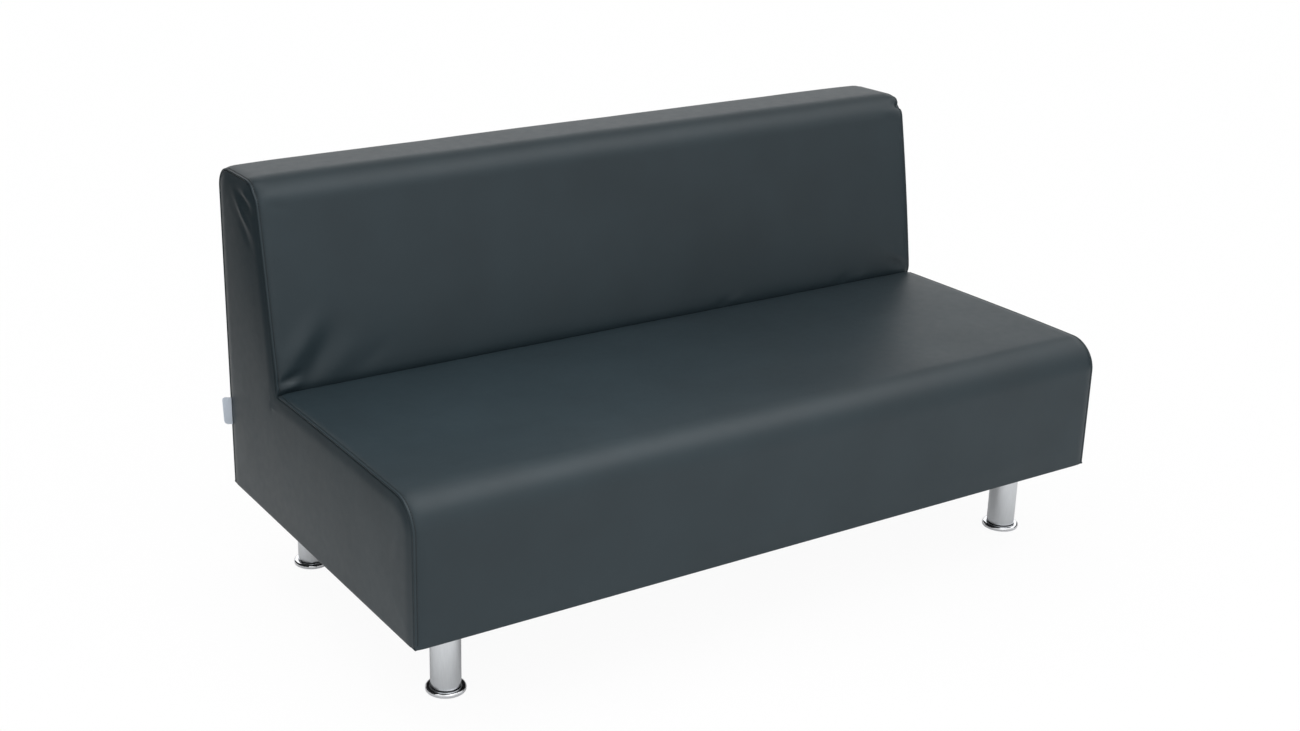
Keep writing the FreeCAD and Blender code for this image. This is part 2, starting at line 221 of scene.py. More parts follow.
class Finish:
    """A node-based material under construction."""

    def __init__(self, name, **sockets):
        """A new material of this name, with these values in its shader's sockets."""
        self.material = bpy.data.materials.get(name) or bpy.data.materials.new(name)
        self.material.use_nodes = True
        self.nodes = self.material.node_tree.nodes
        self.links = self.material.node_tree.links
        self.nodes.clear()
        self.shader = self.nodes.new("ShaderNodeBsdfPrincipled")
        output = self.nodes.new("ShaderNodeOutputMaterial")
        self.links.new(self.shader.outputs["BSDF"], output.inputs["Surface"])
        self.place = self.nodes.new("ShaderNodeTexCoord").outputs["Object"]
        for key, value in sockets.items():
            socket = self.shader.inputs[key.replace("_", " ")]
            socket.default_value = (*value, 1) if isinstance(value, tuple) else value

    def scaled(self, x, y, z):
        """The object's coordinates stretched by these factors."""
        mapping = self.nodes.new("ShaderNodeMapping")
        mapping.inputs["Scale"].default_value = (x, y, z)
        self.links.new(self.place, mapping.inputs["Vector"])
        return mapping.outputs["Vector"]

    def texture(self, kind, place=None, **settings):
        """A procedural texture, as a value."""
        node = self.nodes.new("ShaderNodeTex" + kind)
        for key, value in settings.items():
            if key in node.bl_rna.properties:
                setattr(node, key, value)
            else:
                node.inputs[key.replace("_", " ")].default_value = value
        self.links.new(place or self.place, node.inputs["Vector"])
        return node.outputs["Distance" if kind == "Voronoi" else "Fac"]

    def maths(self, operation, a, b):
        """Two values or sockets joined by an operation."""
        node = self.nodes.new("ShaderNodeMath")
        node.operation = operation
        for socket, value in zip(node.inputs, (a, b)):
            if isinstance(value, (int, float)):
                socket.default_value = value
            else:
                self.links.new(value, socket)
        return node.outputs["Value"]

    def coloured(self, value, colour, dark, light, start=0.3, end=0.7):
        """A base colour that goes from its dark shade to its light one with the value."""
        ramp = self.nodes.new("ShaderNodeValToRGB")
        stops = zip(ramp.color_ramp.elements, (start, end), (dark, light))
        for stop, position, factor in stops:
            stop.position = position
            stop.color = (*(min(1, c * factor) for c in colour), 1)
        self.links.new(value, ramp.inputs["Fac"])
        self.links.new(ramp.outputs["Color"], self.shader.inputs["Base Color"])

    def rough(self, value, low, high):
        """A roughness that goes from low to high with the value."""
        node = self.nodes.new("ShaderNodeMapRange")
        node.inputs["To Min"].default_value = low
        node.inputs["To Max"].default_value = high
        self.links.new(value, node.inputs["Value"])
        self.links.new(node.outputs["Result"], self.shader.inputs["Roughness"])

    def bumped(self, height, distance, strength=1.0):
        """A relief this far in metres, from the height."""
        node = self.nodes.new("ShaderNodeBump")
        node.inputs["Distance"].default_value = distance
        node.inputs["Strength"].default_value = strength
        self.links.new(height, node.inputs["Height"])
        self.links.new(node.outputs["Normal"], self.shader.inputs["Normal"])


def leatherette():
    """Leatherette with a fine pored grain, its colour a little uneven."""
    finish = Finish("leatherette", Roughness=0.46, Specular_IOR_Level=0.3)
    mottle = finish.texture("Noise", Scale=9, Detail=3, Roughness=0.5)
    finish.coloured(mottle, colours().leather, 0.93, 1.07)
    pores = finish.texture("Voronoi", Scale=950, Randomness=1)
    creases = finish.texture("Noise", Scale=420, Detail=4, Roughness=0.6)
    grain = finish.maths("ADD", finish.maths("MULTIPLY", pores, 0.6), creases)
    finish.bumped(grain, 0.00012, 0.55)
    finish.rough(finish.texture("Noise", Scale=60, Detail=3), 0.41, 0.5)
    return finish.material


def sewing_thread():
    """Twisted sewing thread, with painted shade and highlight on its twist."""
    finish = Finish("sewing_thread", Roughness=0.7)
    twist = finish.texture("Wave", Scale=900, Distortion=0.5, bands_direction="DIAGONAL")
    # Painted shade and highlight: darker in the twist's grooves and lighter on its ridges, after
    # the waves that give its relief
    finish.coloured(twist, colours().thread, 0.7, 1.5)
    finish.bumped(twist, 0.0001)
    return finish.material


# About as many half waves to the metre as a wave texture has at scale 1
HALF_WAVES = 6.3


def woven(name, colour, threads, roughness, distance):
    """Cloth woven of square threads, as many to the metre as given, with painted shade and
    highlight.
    """
    finish = Finish(name, Roughness=roughness)
    height = None
    for direction in "XYZ":
        rib = finish.texture("Wave", Scale=threads / HALF_WAVES, bands_direction=direction)
        height = rib if height is None else finish.maths("MULTIPLY", height, rib)
    fuzz = finish.texture("Noise", Scale=threads * 1.3, Detail=2)
    height = finish.maths("ADD", height, finish.maths("MULTIPLY", fuzz, 0.6))
    # Painted shade and highlight: darker where the weave is low between the threads and lighter on
    # their crowns; the fuzz adds a random tone
    finish.coloured(height, colour, 0.8, 1.1, 0.1, 0.9)
    finish.bumped(height, distance)
    return finish.material


def open_cell_foam():
    """Upholstery foam with open cells, in slow patches of lighter and darker, with painted shade in
    the cells' pits.
    """
    finish = Finish("open_cell_foam", Roughness=0.95, Specular_IOR_Level=0.2)
    cells = finish.texture("Voronoi", Scale=900)
    patches = finish.texture("Noise", Scale=14, Detail=4)
    # The slow patches are a random tone; the cells add painted shade, darker in their pits where
    # the relief is low
    blend = finish.maths("ADD", finish.maths("MULTIPLY", cells, 0.5), patches)
    finish.coloured(blend, colours().foam, 0.82, 1.08)
    finish.bumped(cells, 0.0006)
    return finish.material


def sawn_wood(name, colour, grain, plies=0.0):
    """Wood with its grain along X, and where plies are given with slanting layers over it."""
    finish = Finish(name, Roughness=0.6, Specular_IOR_Level=0.35)
    along = finish.scaled(0.05, 1, 1)
    figure = finish.texture("Noise", along, Scale=grain, Detail=6, Roughness=0.62, Distortion=0.6)
    if plies:
        scale = plies / HALF_WAVES
        layers = finish.texture("Wave", Scale=scale, bands_direction="DIAGONAL", Distortion=0.4)
        layers = finish.maths("MULTIPLY", layers, 0.2)
        figure = finish.maths("ADD", finish.maths("MULTIPLY", figure, 0.75), layers)
    finish.coloured(figure, colour, 0.62, 1.18)
    finish.bumped(figure, 0.0004, 0.5)
    finish.rough(figure, 0.5, 0.72)
    return finish.material


def pressed_board():
    """Hardboard pressed of fine fibres."""
    finish = Finish("pressed_board", Roughness=0.5)
    fibres = finish.texture("Noise", Scale=260, Detail=5, Roughness=0.7)
    finish.coloured(fibres, colours().hardboard, 0.7, 1.3)
    finish.bumped(fibres, 0.0002)
    return finish.material


def satin_metal():
    """Metal with fine lines along an upright tube."""
    finish = Finish("satin_metal", Metallic=1.0, Roughness=0.3)
    around = finish.scaled(1, 1, 0.03)
    lines = finish.texture("Noise", around, Scale=1400, Detail=3, Roughness=0.6)
    finish.coloured(lines, colours().metal, 0.95, 1.05)
    finish.rough(lines, 0.25, 0.34)
    finish.bumped(lines, 0.00003, 0.4)
    return finish.material


def polished_chrome():
    """Bright chrome with a faint haze."""
    finish = Finish("polished_chrome", Metallic=1.0, Roughness=0.07)
    haze = finish.texture("Noise", Scale=120, Detail=4)
    finish.coloured(haze, colours().chrome, 0.98, 1.02)
    finish.rough(haze, 0.05, 0.1)
    return finish.material


def zinc_plate():
    """Zinc with a patchy bloom."""
    finish = Finish("zinc_plate", Metallic=1.0, Roughness=0.35)
    bloom = finish.texture("Voronoi", Scale=220)
    finish.coloured(bloom, colours().zinc, 0.85, 1.15, 0.1, 0.8)
    finish.rough(bloom, 0.28, 0.45)
    return finish.material


def moulded_plastic():
    """Plastic with a very fine grain."""
    finish = Finish("moulded_plastic", Roughness=0.5)
    spark = finish.texture("Noise", Scale=1800, Detail=2)
    finish.coloured(spark, colours().plastic, 0.8, 1.2)
    finish.bumped(spark, 0.00005, 0.6)
    return finish.material


def unit(v):
    """The vector made one long."""
    return v / np.linalg.norm(v)


def left_of(v):
    """The (y, z) vector turned left by a quarter turn."""
    return np.array((-v[1], v[0]))


def graded(length, fine_start, fine_end):
    """Places from 0 to length, finely spaced at the ends that ask for it."""
    s = shape()
    places = [0.0]
    while places[-1] < length:
        here = places[-1]
        near = 1.0
        if fine_start:
            near = min(near, here / s.fine_reach)
        if fine_end:
            near = min(near, abs(length - here) / s.fine_reach)
        places.append(here + s.fine_step + (s.mesh_step - s.fine_step) * near)
    return np.array(places) * (length / places[-1])


def rounded_run(corners, crowns, fine=()):
    """Points, outward normals and length along (y, z, radius) corners.

    A crowned straight swells by its crown and rises by its second value to its end. The
    straights numbered in fine have their points close together at the end that is named.
    """
    spots = [np.array(c[:2], float) for c in corners]
    ways = [unit(b - a) for a, b in zip(spots, spots[1:])]
    trims = [0.0]
    for before, after, corner in zip(ways, ways[1:], corners[1:]):
        turn = math.acos(float(np.clip(before @ after, -1, 1)))
        trims.append(corner[2] * math.tan(turn / 2))
    trims.append(0.0)
    points, normals = [], []
    for i, way in enumerate(ways):
        start = spots[i] + way * trims[i]
        end = spots[i + 1] - way * trims[i + 1]
        span = float(np.linalg.norm(end - start))
        for place in graded(span, (i, "start") in fine, (i, "end") in fine):
            points.append(start + way * place)
            normals.append(left_of(way))
        radius = corners[i + 1][2]
        if i + 1 < len(ways) and radius:
            first, last = left_of(way), left_of(ways[i + 1])
            centre = end - first * radius
            turn = math.acos(float(np.clip(first @ last, -1, 1)))
            count = max(4, round(turn / math.radians(5)))
            for k in range(1, count):
                normal = turned_by(first, -turn * k / count)
                points.append(centre + normal * radius)
                normals.append(normal)
    points = np.array(points)
    normals = np.array(normals)
    lifted = points.copy()
    for i, (crown, rise) in crowns.items():
        along = spots[i + 1] - spots[i]
        out = left_of(unit(along))
        t = np.clip((points - spots[i]) @ along / (along @ along), 0, 1)
        facing = np.clip(normals @ out, 0, 1) ** 2
        near = (normals @ out) > 0.05
        lift = crown * (1 - (2 * t - 1) ** 2) + rise * t**3
        lifted += np.outer(lift * facing * near, out)
    keep = np.ones(len(points), bool)
    keep[1:] = np.linalg.norm(np.diff(lifted, axis=0), axis=1) > 1e-5
    lifted, normals = lifted[keep], normals[keep]
    run = np.concatenate([[0], np.cumsum(np.linalg.norm(np.diff(lifted, axis=0), axis=1))])
    return lifted, normals, run


def turned_by(v, angle):
    """The (y, z) vector turned by this angle."""
    cos, sin = math.cos(angle), math.sin(angle)
    return np.array((v[0] * cos - v[1] * sin, v[0] * sin + v[1] * cos))


def crease():
    """The (y, z) place of the line where seat and backrest meet."""
    return REAR - shape().back_base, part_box("seat_cover")[1].z - shape().seat_crown


def back_way():
    """The way the backrest leans, as a (y, z) direction upwards."""
    y, z = crease()
    return unit(np.array((REAR - shape().back_top - y, TOP - z)))


# A band's section at a seam, as (distance from the end, depth), from deep in the seam outwards
BAND_EDGE = (
    (0.0096, 0.0104), (0.0078, 0.0088), (0.0060, 0.0074), (0.0042, 0.0064), (0.0027, 0.0054),
    (0.0022, 0.0038), (0.0030, 0.0029), (0.0042, 0.0025), (0.0054, 0.0027), (0.0064, 0.0031),
    (0.0074, 0.0030), (0.0086, 0.0023), (0.0112, 0.0013), (0.0150, 0.0005), (0.0210, 0.0),
)
# The side panel's section there, as (depth, distance from the outline), with as many points as
# HEM_EDGE
SIDE_EDGE = (
    (0.0096, 0.0106), (0.0078, 0.0090), (0.0058, 0.0077), (0.0040, 0.0070), (0.0029, 0.0073),
    (0.0024, 0.0090), (0.0020, 0.0124), (0.0013, 0.0160), (0.0006, 0.0205), (0.0002, 0.0250),
    (0.0, 0.0300),
)
# The side panel's section at the bottom, where it turns in under the frame
HEM_EDGE = (
    (0.0280, 0.0), (0.0160, 0.0), (0.0080, 0.0), (0.0040, 0.0001), (0.0022, 0.0004),
    (0.0010, 0.0012), (0.0003, 0.0027), (0.0, 0.0060), (0.0, 0.0110), (0.0, 0.0180),
    (0.0, 0.0280),
)
# Folds of the backrest: start and end, each as (x, rise from the crease), width and height
BACK_FOLDS = (
    ((-0.700, 0.011), (-0.650, 0.017), 0.0054, 0.0062),
    ((-0.700, 0.018), (-0.652, 0.036), 0.0058, -0.0056),
    ((-0.692, 0.022), (-0.610, 0.132), 0.0190, 0.0068),
    ((-0.652, 0.000), (-0.582, 0.110), 0.0170, -0.0048),
    ((-0.600, 0.012), (-0.540, 0.090), 0.0170, 0.0022),
    ((-0.560, 0.010), (-0.480, 0.070), 0.0140, -0.0014),
    ((0.200, 0.002), (0.232, 0.020), 0.0055, -0.0030),
    ((0.236, 0.002), (0.270, 0.026), 0.0080, 0.0020),
    ((0.500, 0.002), (0.530, 0.022), 0.0055, -0.0030),
    ((0.545, 0.002), (0.580, 0.020), 0.0080, 0.0020),
    ((0.640, 0.034), (0.690, 0.012), 0.0080, -0.0034),
    ((0.620, 0.064), (0.688, 0.030), 0.0100, 0.0024),
    ((0.676, 0.345), (0.712, 0.345), 0.0062, -0.0095),
    ((0.672, 0.362), (0.706, 0.364), 0.0070, 0.0030),
    ((0.640, 0.335), (0.690, 0.328), 0.0080, 0.0016),
    ((-0.712, 0.346), (-0.680, 0.348), 0.0085, -0.0026),
    ((-0.705, 0.366), (-0.670, 0.370), 0.0085, 0.0012),
    ((-0.690, 0.325), (-0.640, 0.310), 0.0090, -0.0012),
)
# Folds of a side panel, in the same way, with each place as (y, z)
SIDE_FOLDS = (
    ((0.284, 0.700), (0.210, 0.645), 0.0050, 0.0022),
    ((0.272, 0.709), (0.200, 0.680), 0.0060, -0.0034),
    ((0.256, 0.715), (0.202, 0.701), 0.0042, 0.0020),
    ((0.264, 0.668), (0.208, 0.618), 0.0080, -0.0012),
    ((0.157, 0.388), (0.156, 0.345), 0.0060, -0.0014),
    ((-0.325, 0.330), (-0.290, 0.250), 0.0120, 0.0007),
)


def ridge(x, y, start, end, width, height):
    """A fold from start to end that is highest in its middle and fades to both ends."""
    a, b = np.array(start, float), np.array(end, float)
    along = b - a
    span = np.linalg.norm(along)
    t = ((x - a[0]) * along[0] + (y - a[1]) * along[1]) / span**2
    across = ((x - a[0]) * -along[1] + (y - a[1]) * along[0]) / span
    fade = np.exp(-(((t - 0.5) / 0.38) ** 2)) * (np.abs(t - 0.5) < 1.2)
    return height * fade * np.exp(-((across / width) ** 2))


def ripples(x, y, seed):
    """Slow, uneven waves of the padding, about one high, the same on every run."""
    random = np.random.default_rng(seed)
    total = 0
    for length in (0.42, 0.31, 0.23, 0.17, 0.12):
        turn = random.uniform(0, 2 * math.pi)
        phase = random.uniform(0, 2 * math.pi)
        total = total + length * np.sin(
            2 * math.pi * (x * math.cos(turn) + y * math.sin(turn)) / length + phase
        )
    return total / 0.9


def puckers(run, depth, seed):
    """Small gathers along a seam, at most one high, that fade out over a couple of centimetres."""
    phases = np.random.default_rng(seed).uniform(0, 2 * math.pi, 3)
    pitches = (0.021, 0.03423, 0.0861)
    heights = (1.0, 0.8, 0.6)
    fade = 0.012
    wave = 0
    for pitch, height, phase in zip(pitches, heights, phases):
        wave = wave + height * np.sin(2 * math.pi * run / pitch + phase)
    return wave / sum(heights) * np.exp(-depth / fade)


# The covers' outer surfaces, under which the foam has to stay
cover_surfaces = []


def remembered(points, faces, flat):
    """Keeps the flat part of a cover's outer surface, past its seams, for the foam's fitting."""
    kept = [tuple(face) for face in faces if all(flat[v] for v in face)]
    cover_surfaces.append(BVHTree.FromPolygons([Vector(p) for p in points], kept))


def band_columns():
    """The X places and depths of a band's points from its left end to its right."""
    start = BAND_EDGE[-1][0]
    inner = graded(2 * (HALF - start), True, True)[1:-1] + start - HALF
    left = [(u - HALF, depth) for u, depth in BAND_EDGE]
    right = [(HALF - u, depth) for u, depth in reversed(BAND_EDGE)]
    table = np.array(left + [(x, 0) for x in inner] + right)
    return table[:, 0], table[:, 1]


def band(name, run, relief):
    """A band of cover along a run, its ends turned down into the seams.

    The seams flatten out where the band is turned in under the frame.
    """
    points, normals, length = run
    flattened = 0.8
    x, depth = band_columns()
    rows, columns = len(points), len(x)
    across, along = np.meshgrid(x, length)
    end = HALF - np.abs(across)
    under = np.clip(-normals[:, 1], 0, 1)
    sunk = depth[None, :] * (1 - flattened * under)[:, None]
    lift = relief(across, along, end, length[-1]) - sunk
    y = points[:, 0][:, None] + normals[:, 0][:, None] * lift
    z = points[:, 1][:, None] + normals[:, 1][:, None] * lift
    grid = np.stack([across, y, z], axis=2).reshape(-1, 3)
    i = np.arange((rows - 1) * columns).reshape(rows - 1, columns)[:, :-1].ravel()
    faces = np.stack([i, i + 1, i + columns + 1, i + columns], axis=1).tolist()
    remembered(grid, faces, end.ravel() > shape().seam_reach)
    piece = from_points(name, grid, faces)
    modified(piece, "SOLIDIFY", thickness=shape().leather, offset=-1, use_even_offset=False)
    return smooth(piece)


def tuck_end(gap):
    """The (y, z) place of a band's hidden end in the crease, this far behind the middle line."""
    low = np.array(crease()) - back_way() * shape().tuck
    return low[0] + gap, low[1]


# Radius of the bends where a band is turned in under the frame and where the seat goes down
HEM_BEND = 0.0035
CREASE_BEND = 0.0026
# How far the seat band goes on past the crease's line before it bends down
CREASE_LAP = 0.0014


def seat_run():
    """The seat band's section, from its hem up the front and over the seat to its tucked end."""
    s = shape()
    y, z = crease()
    return rounded_run(
        [
            (FRONT + s.hem, UNDERSIDE, 0),
            (FRONT, UNDERSIDE, HEM_BEND),
            (FRONT, z, s.seat_edge),
            (y + CREASE_LAP, z, CREASE_BEND),
            (*tuck_end(-0.0003), 0),
        ],
        {2: (s.seat_crown, s.seat_rise)},
        fine={(2, "end")},
    )


def back_run():
    """The backrest band's section, from its tucked end over the top and down to its hem."""
    s = shape()
    return rounded_run(
        [
            (*tuck_end(0.0004), 0),
            (REAR - s.back_top, TOP, s.back_front),
            (REAR, TOP, s.back_rear),
            (REAR, UNDERSIDE, HEM_BEND),
            (REAR - s.hem, UNDERSIDE, 0),
        ],
        {0: (s.back_crown, 0)},
        fine={(0, "start"), (0, "end")},
    )


def stretched(x, run, end, from_hem, from_crease, seed, calm=1):
    """The swell, ripples and gathers of a band, which stop short of its hem and its crease.

    End is the distance to the nearest seam, and calm lowers the ripples.
    """
    ripple, gather = 0.0011, 0.00035
    # Lengths over which the relief sets in, at a seam and at hem and crease, and the hem's margin
    seam_fade, fade, margin = 0.045, 0.03, 0.035
    # The gathers start past the seam, are at their full height up to here and fade from there
    seam, full = 0.008, 0.009
    edge = 1 - np.exp(-end / seam_fade)
    open_part = np.clip((from_hem - margin) / fade, 0, 1) * np.clip(from_crease / fade, 0, 1)
    waves = ripple * ripples(x, run, seed) * edge * calm
    gathers = gather * puckers(run, np.maximum(end - full, 0), seed + 2) * (end > seam)
    return (shape().swell * edge + waves + gathers) * open_part


def seat_relief(x, run, end, total):
    """How far the seat cover stands out of its plain form, at places along a run of this length."""
    tuck = total - shape().tuck
    # Depth and reach of the dip at the crease, and the length over which the corner's fold sets in
    dip, reach, fade = 0.0004, 0.016, 0.03
    lift = stretched(x, run, end, run, tuck - run, seed=3)
    lift -= dip * np.exp(-(((run - tuck) / reach) ** 2))
    corner_fold = ridge(x, run, (-0.69, tuck - 0.004), (-0.60, tuck - 0.016), 0.006, 0.0016)
    return lift + corner_fold * np.clip((tuck - run) / fade, 0, 1)


def back_relief(x, run, end, total):
    """How far the backrest cover stands out of its plain form, at places along such a run."""
    # Depth and reach of the roll into the crease, and the length over which the folds set in
    roll, reach, fade = 0.0042, 0.0085, 0.03
    # Share of the ripples that is lost higher up, from this rise on and over this length
    lost, calm_from, calm_fade = 0.65, 0.29, 0.08
    rise = run - shape().tuck
    above = np.maximum(rise, 0)
    calm = 1 - lost * np.clip((rise - calm_from) / calm_fade, 0, 1)
    lift = stretched(x, run, end, total - run, rise, seed=11, calm=calm)
    lift -= roll * np.exp(-((above / reach) ** 2)) * np.clip(run / shape().tuck, 0, 1)
    for fold in BACK_FOLDS:
        lift += ridge(x, rise, *fold) * np.clip(above / fade, 0, 1) ** 0.3
    return lift


def inside(polygon, y, z):
    """Which of the points lie inside the closed polygon."""
    result = np.zeros(len(y), bool)
    following = np.roll(polygon, -1, axis=0)
    for (y0, z0), (y1, z1) in zip(polygon, following):
        if z0 == z1:
            continue
        crosses = (z0 > z) != (z1 > z)
        result ^= crosses & (y < (y1 - y0) * (z - z0) / (z1 - z0) + y0)
    return result


def side_stations():
    """Stations round the side's outline: point, ways in by seam and by hem, on the bottom or not.

    Near the lower corners the two ways share, so that the seam runs out into the hem.
    """
    s = shape()
    y, z = crease()
    seat = rounded_run(
        [(FRONT, UNDERSIDE, 0), (FRONT, z, s.seat_edge), (y, z, 0)],
        {1: (s.seat_crown, s.seat_rise)},
    )
    back = rounded_run(
        [
            (y, z, 0),
            (REAR - s.back_top, TOP, s.back_front),
            (REAR, TOP, s.back_rear),
            (REAR, UNDERSIDE, 0),
        ],
        {0: (s.back_crown, 0)},
    )
    up = np.array((0.0, 1.0))

    def pull(distance):
        """How much a lower corner pulls at this distance, from 1 down to 0."""
        return max(0.0, 1 - distance / s.corner_pull)

    rows = []
    for point, normal in zip(seat[0][:-1], seat[1][:-1]):
        rows.append((point, -normal, up * pull(point[1] - UNDERSIDE), False))
    before, after = seat[1][-1], back[1][0]
    rows.append((seat[0][-1], -(before + after) / (1 + before @ after), up * 0, False))
    for point, normal in zip(back[0][1:], back[1][1:]):
        rows.append((point, -normal, up * pull(point[1] - UNDERSIDE), False))
    count = round((REAR - FRONT) / s.mesh_step)
    for at in np.linspace(REAR, FRONT, count + 1)[1:-1]:
        inwards = np.array((pull(at - FRONT) - pull(REAR - at), 0.0))
        rows.append((np.array((at, UNDERSIDE)), inwards, up, True))
    return rows


def side_relief(y, z, near):
    """How far the side panel swells out of its plane, this near to its outline."""
    # Height of the ripples, and the lengths over which the swell and the folds set in
    ripple, fade, fold_fade = 0.0005, 0.05, 0.005
    edge = 1 - np.exp(-((near / fade) ** 2))
    lift = (shape().swell + ripple * ripples(y, z, 21)) * edge
    for fold in SIDE_FOLDS:
        lift += ridge(y, z, *fold) * (1 - np.exp(-near / fold_fade))
    return lift


def side_panel(name, sign):
    """The L-shaped side panel at the left, sign -1, or right, sign 1.

    What lies deeper in the seam than its dip doesn't swell.
    """
    dip = 0.0035
    stations = side_stations()
    outline = np.array([row[0] for row in stations])
    rings, depths = [], []
    for seam, hem in zip(SIDE_EDGE, HEM_EDGE):
        ring = [p + by_seam * seam[1] + by_hem * hem[1] for p, by_seam, by_hem, _ in stations]
        rings.append(np.array(ring))
        depths.append([hem[0] if bottom else seam[0] for _, _, _, bottom in stations])
    last = rings[-1]
    step = shape().mesh_step / 2
    grid_y, grid_z = np.meshgrid(
        np.arange(FRONT + step / 2, REAR, step), np.arange(UNDERSIDE + step / 2, TOP, step)
    )
    grid = np.stack([grid_y.ravel(), grid_z.ravel()], axis=1)
    grid = grid[inside(last, grid[:, 0], grid[:, 1])]
    gap = np.array([np.linalg.norm(last - p, axis=1).min() for p in grid])
    grid = grid[gap > 0.7 * step]
    count = len(last)
    spots = [Vector(p) for p in np.concatenate([last, grid])]
    loop = [(i, (i + 1) % count) for i in range(count)]
    result = delaunay_2d_cdt(spots, loop, [], 1, 1e-7)
    if len(result[0]) != len(spots):
        raise RuntimeError("the side panel's filling merged some points")
    places = np.concatenate(rings + [grid])
    depth = np.concatenate([np.array(d) for d in depths] + [np.zeros(len(grid))])
    near = np.array([np.linalg.norm(outline - p, axis=1).min() for p in places])
    lift = side_relief(places[:, 0], places[:, 1], near)
    faces = []
    for k in range(len(rings) - 1):
        for i in range(count):
            j = (i + 1) % count
            faces.append((k * count + i, k * count + j, (k + 1) * count + j, (k + 1) * count + i))
    offset = (len(rings) - 1) * count
    faces += [tuple(offset + v for v in face) for face in result[2]]
    x = sign * (HALF - depth + lift * (depth < dip))
    points = np.stack([x, places[:, 0], places[:, 1]], axis=1)
    piece = from_points(name, points, faces)
    outward_sheet(piece, sign)
    remembered(points, [f.vertices for f in piece.data.polygons], near > shape().seam_reach)
    modified(piece, "SOLIDIFY", thickness=shape().leather, offset=-1, use_even_offset=False)
    return smooth(piece)


def outward_sheet(piece, sign):
    """Makes an open panel's faces agree and look out along X."""
    outward(piece, merge=False)
    total = sum(face.normal.x * face.area for face in piece.data.polygons)
    if total * sign < 0:
        piece.data.flip_normals()


def pattern_area():
    """The area of a side panel's pattern: the outline with its hem and its seam allowance."""
    outline = np.array([row[0] for row in side_stations()])
    following = np.roll(outline, -1, axis=0)
    twice = abs(np.sum(outline[:, 0] * following[:, 1] - following[:, 0] * outline[:, 1]))
    around = np.sum(np.linalg.norm(following - outline, axis=1))
    depth = REAR - FRONT
    return float(twice / 2 + depth * shape().hem + (around - depth) * SIDE_EDGE[0][0])


class SOFA_OT_covers(bpy.types.Operator):
    """Make the seat and backrest bands and the two side panels of leatherette"""

    bl_idname = "sofa.covers"
    bl_label = "Covers"

    def execute(self, context):
        material = leatherette()
        for name, run, relief, node, foam in (
            ("seat_upholstery", seat_run(), seat_relief, "seat_cover", "seat_padding"),
            ("back_upholstery", back_run(), back_relief, "back_cover", "back_padding"),
        ):
            piece = band(name, run, relief)
            finished(piece, material, "leatherette", SOFA, node)
        for side, sign in (("left", -1), ("right", 1)):
            panel = side_panel("side_panel_" + side, sign)
            finished(panel, material, "leatherette", SOFA, "side_cover_" + side)
            pattern_area()
        return {"FINISHED"}


def stitch_template():
    """One stitch along Y: a short thread whose ends dip into the leatherette."""
    half = sewing().stitch / 2
    radius = sewing().thread
    flattened = 1.2
    # Place along half the stitch, size and rise of the thread there
    rings = ((-1.0, 0.35, -1.1), (-0.8, 0.85, -0.35), (-0.4, 1.0, 0.1))
    rings += tuple((-along, size, rise) for along, size, rise in reversed(rings))
    sides = 6
    points, faces = [], []
    for along, size, rise in rings:
        for k in range(sides):
            turn = 2 * math.pi * k / sides
            x = radius * size * math.cos(turn) * flattened
            points.append((x, along * half, radius * (rise + size * math.sin(turn))))
    for ring in range(len(rings) - 1):
        for k in range(sides):
            j = (k + 1) % sides
            a, b = ring * sides, (ring + 1) * sides
            faces.append((a + k, b + k, b + j, a + j))
    faces.append(tuple(range(sides)))
    last = (len(rings) - 1) * sides
    faces.append(tuple(last + k for k in reversed(range(sides))))
    return np.array(points), faces


def stitches(name, run, relief, start, end):
    """Two rows of stitches along a band, one by each end, from start to end of its run."""
    points, normals, length = run
    offset = sewing().offset
    template, template_faces = stitch_template()
    places, faces = [], []
    count = int((end - start) / sewing().pitch)
    for sign in (-1, 1):
        for k in range(count):
            at = start + (k + 0.5) * (end - start) / count
            spot = np.array([np.interp(at, length, points[:, i]) for i in (0, 1)])
            out = unit(np.array([np.interp(at, length, normals[:, i]) for i in (0, 1)]))
            place = sign * (HALF - offset)
            lift = relief(np.array([place]), np.array([at]), np.array([offset]), length[-1])
            spot = spot + out * (float(lift[0]) - sewing().sink)
            way = np.array((out[1], -out[0]))
            x = place + template[:, 0]
            y = spot[0] + way[0] * template[:, 1] + out[0] * template[:, 2]
            z = spot[1] + way[1] * template[:, 1] + out[1] * template[:, 2]
            base = len(places) * len(template)
            places.append(np.stack([x, y, z], axis=1))
            faces += [tuple(base + v for v in face) for face in template_faces]
    piece = from_points(name, np.concatenate(places), faces)
    return smooth(outward(piece))


class SOFA_OT_stitching(bpy.types.Operator):
    """Sew a row of stitches beside each end seam"""

    bl_idname = "sofa.stitching"
    bl_label = "Stitching"

    def execute(self, context):
        thread = sewing_thread()
        margin, crease_margin = 0.006, 0.004
        seat, back = seat_run(), back_run()
        hem, tuck = shape().hem + margin, shape().tuck
        seat_end = seat[2][-1] - tuck - crease_margin
        back_end = back[2][-1] - hem
        row = stitches("seat_stitching", seat, seat_relief, hem, seat_end)
        finished(row, thread, "leatherette", SOFA)
        row = stitches("back_stitching", back, back_relief, tuck + margin, back_end)
        finished(row, thread, "leatherette", SOFA)
        return {"FINISHED"}


